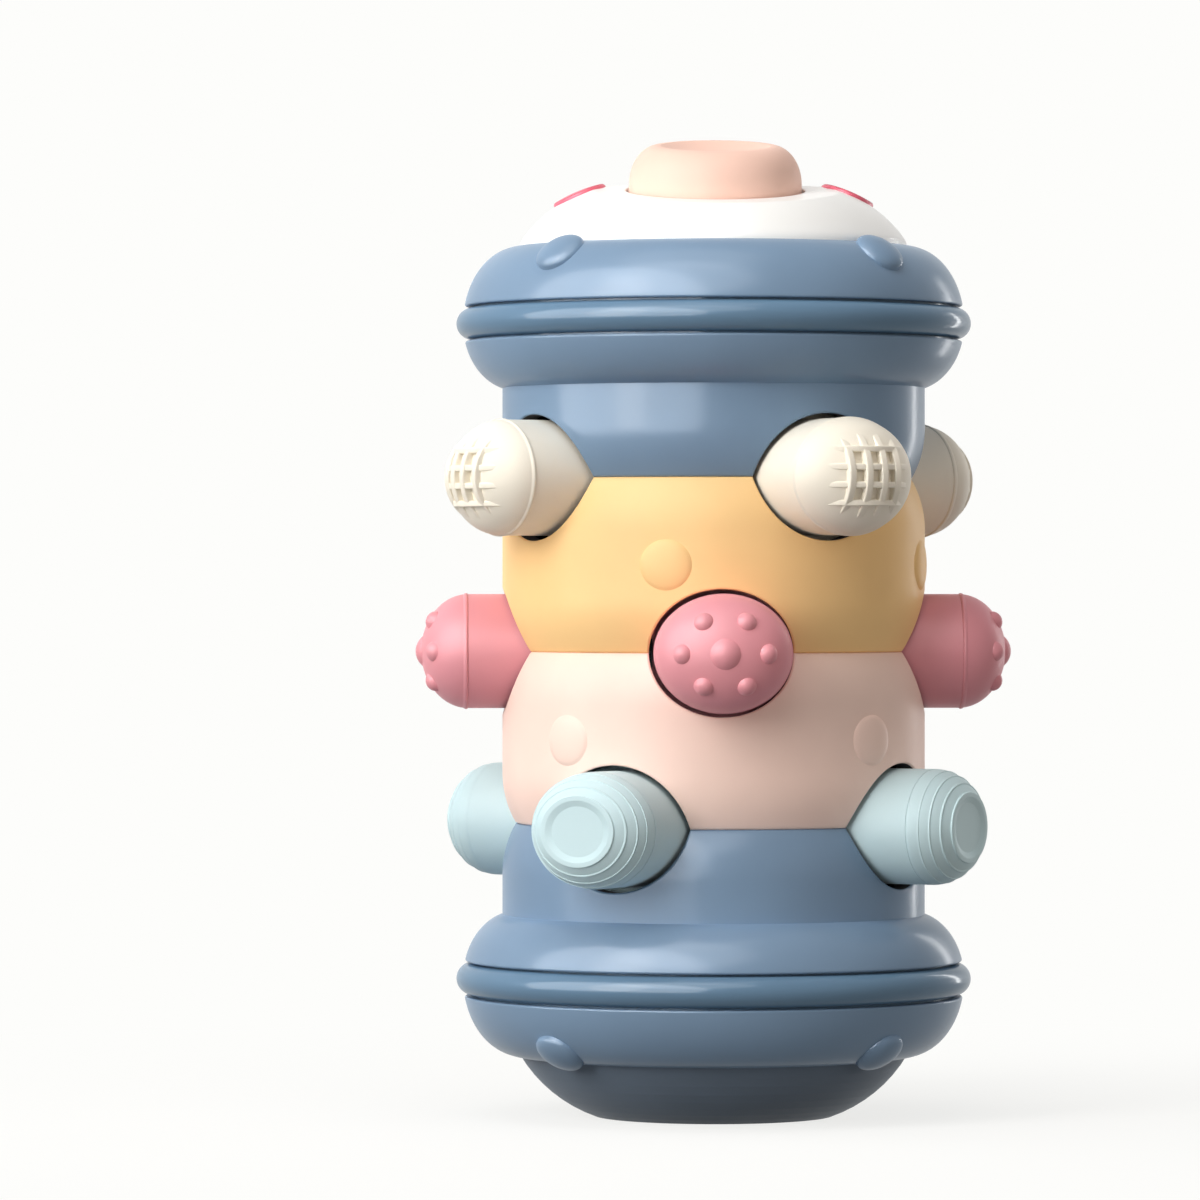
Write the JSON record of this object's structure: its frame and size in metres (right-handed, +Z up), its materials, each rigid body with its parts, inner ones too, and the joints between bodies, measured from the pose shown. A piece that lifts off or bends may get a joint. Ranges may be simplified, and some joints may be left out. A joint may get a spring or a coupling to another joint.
{
  "type": "upright baby sensory roller",
  "caption": "Drum-shaped baby toy with flared bumper collars, rows of sprung oval press pegs with raised relief, a domed cover with a press button and a flat foot.",
  "frame": {"origin": "centre of the flat base, on the surface that the toy stands on", "axes": "+Z up along the axis of the drum, -Y to the front, where a pink peg points"},
  "size_m": [0.127, 0.127, 0.2079],
  "materials": {
    "blue_shell": "satin gloss",
    "bumper_blue": "gloss",
    "yellow_shell": "satin gloss",
    "peach_shell": "satin gloss",
    "white_dome": "satin gloss",
    "rose_pad": "satin",
    "peach_button": "matte",
    "slate_foot": "satin",
    "mint_peg": "soft matte",
    "pink_peg": "soft matte",
    "cream_peg": "soft matte",
    "inner_plastic": "moulded",
    "spring_steel": "drawn wire",
    "screw_steel": "plated"
  },
  "bodies": {
    "drum": {"foot_cap": "slate_foot", "lower_collar": "blue_shell", "lower_bumper_ring": "bumper_blue", "lower_drum": "blue_shell", "peach_band": "peach_shell", "yellow_band": "yellow_shell", "upper_drum": "blue_shell", "upper_bumper_ring": "bumper_blue", "upper_collar": "blue_shell", "dome_cover": "white_dome", "dome_pad_left": "rose_pad", "dome_pad_right": "rose_pad", "core_post": "inner_plastic", "crown_plate": "inner_plastic", "base_screws": "screw_steel", "crown_screws": "screw_steel", "button_spring": "spring_steel", "mint_peg_1_spring": "spring_steel", "mint_peg_2_spring": "spring_steel", "mint_peg_3_spring": "spring_steel", "mint_peg_4_spring": "spring_steel", "pink_peg_1_spring": "spring_steel", "pink_peg_2_spring": "spring_steel", "pink_peg_3_spring": "spring_steel", "pink_peg_4_spring": "spring_steel", "cream_peg_1_spring": "spring_steel", "cream_peg_2_spring": "spring_steel", "cream_peg_3_spring": "spring_steel", "cream_peg_4_spring": "spring_steel"},
    "mint_peg_1": {"mint_peg_1_sleeve": "mint_peg", "mint_peg_1_cap": "mint_peg"},
    "mint_peg_2": {"mint_peg_2_sleeve": "mint_peg", "mint_peg_2_cap": "mint_peg"},
    "mint_peg_3": {"mint_peg_3_sleeve": "mint_peg", "mint_peg_3_cap": "mint_peg"},
    "mint_peg_4": {"mint_peg_4_sleeve": "mint_peg", "mint_peg_4_cap": "mint_peg"},
    "pink_peg_1": {"pink_peg_1_sleeve": "pink_peg", "pink_peg_1_cap": "pink_peg"},
    "pink_peg_2": {"pink_peg_2_sleeve": "pink_peg", "pink_peg_2_cap": "pink_peg"},
    "pink_peg_3": {"pink_peg_3_sleeve": "pink_peg", "pink_peg_3_cap": "pink_peg"},
    "pink_peg_4": {"pink_peg_4_sleeve": "pink_peg", "pink_peg_4_cap": "pink_peg"},
    "cream_peg_1": {"cream_peg_1_sleeve": "cream_peg", "cream_peg_1_cap": "cream_peg"},
    "cream_peg_2": {"cream_peg_2_sleeve": "cream_peg", "cream_peg_2_cap": "cream_peg"},
    "cream_peg_3": {"cream_peg_3_sleeve": "cream_peg", "cream_peg_3_cap": "cream_peg"},
    "cream_peg_4": {"cream_peg_4_sleeve": "cream_peg", "cream_peg_4_cap": "cream_peg"},
    "button": {"button_cap": "peach_button"}
  },
  "joints": [
    {"name": "mint_peg_1_press", "type": "slide", "parent": "drum", "child": "mint_peg_1", "axis": [0.5, 0.866, 0], "range_m": [0, 0.012], "stiffness_N_per_m": 80, "springref_m": -0.012, "deforming": ["mint_peg_1_spring"]},
    {"name": "mint_peg_2_press", "type": "slide", "parent": "drum", "child": "mint_peg_2", "axis": [-0.866, 0.5, 0], "range_m": [0, 0.012], "stiffness_N_per_m": 80, "springref_m": -0.012, "deforming": ["mint_peg_2_spring"]},
    {"name": "mint_peg_3_press", "type": "slide", "parent": "drum", "child": "mint_peg_3", "axis": [-0.5, -0.866, 0], "range_m": [0, 0.012], "stiffness_N_per_m": 80, "springref_m": -0.012, "deforming": ["mint_peg_3_spring"]},
    {"name": "mint_peg_4_press", "type": "slide", "parent": "drum", "child": "mint_peg_4", "axis": [0.866, -0.5, 0], "range_m": [0, 0.012], "stiffness_N_per_m": 80, "springref_m": -0.012, "deforming": ["mint_peg_4_spring"]},
    {"name": "pink_peg_1_press", "type": "slide", "parent": "drum", "child": "pink_peg_1", "axis": [0, 1, 0], "range_m": [0, 0.012], "stiffness_N_per_m": 80, "springref_m": -0.012, "deforming": ["pink_peg_1_spring"]},
    {"name": "pink_peg_2_press", "type": "slide", "parent": "drum", "child": "pink_peg_2", "axis": [-1, 0, 0], "range_m": [0, 0.012], "stiffness_N_per_m": 80, "springref_m": -0.012, "deforming": ["pink_peg_2_spring"]},
    {"name": "pink_peg_3_press", "type": "slide", "parent": "drum", "child": "pink_peg_3", "axis": [0, -1, 0], "range_m": [0, 0.012], "stiffness_N_per_m": 80, "springref_m": -0.012, "deforming": ["pink_peg_3_spring"]},
    {"name": "pink_peg_4_press", "type": "slide", "parent": "drum", "child": "pink_peg_4", "axis": [1, 0, 0], "range_m": [0, 0.012], "stiffness_N_per_m": 80, "springref_m": -0.012, "deforming": ["pink_peg_4_spring"]},
    {"name": "cream_peg_1_press", "type": "slide", "parent": "drum", "child": "cream_peg_1", "axis": [-0.5, 0.866, 0], "range_m": [0, 0.012], "stiffness_N_per_m": 80, "springref_m": -0.012, "deforming": ["cream_peg_1_spring"]},
    {"name": "cream_peg_2_press", "type": "slide", "parent": "drum", "child": "cream_peg_2", "axis": [-0.866, -0.5, 0], "range_m": [0, 0.012], "stiffness_N_per_m": 80, "springref_m": -0.012, "deforming": ["cream_peg_2_spring"]},
    {"name": "cream_peg_3_press", "type": "slide", "parent": "drum", "child": "cream_peg_3", "axis": [0.5, -0.866, 0], "range_m": [0, 0.012], "stiffness_N_per_m": 80, "springref_m": -0.012, "deforming": ["cream_peg_3_spring"]},
    {"name": "cream_peg_4_press", "type": "slide", "parent": "drum", "child": "cream_peg_4", "axis": [0.866, 0.5, 0], "range_m": [0, 0.012], "stiffness_N_per_m": 80, "springref_m": -0.012, "deforming": ["cream_peg_4_spring"]},
    {"name": "button_press", "type": "slide", "parent": "drum", "child": "button", "axis": [0, 0.1564, -0.9877], "range_m": [0, 0.004], "stiffness_N_per_m": 400, "springref_m": -0.005, "deforming": ["button_spring"]}
  ]
}
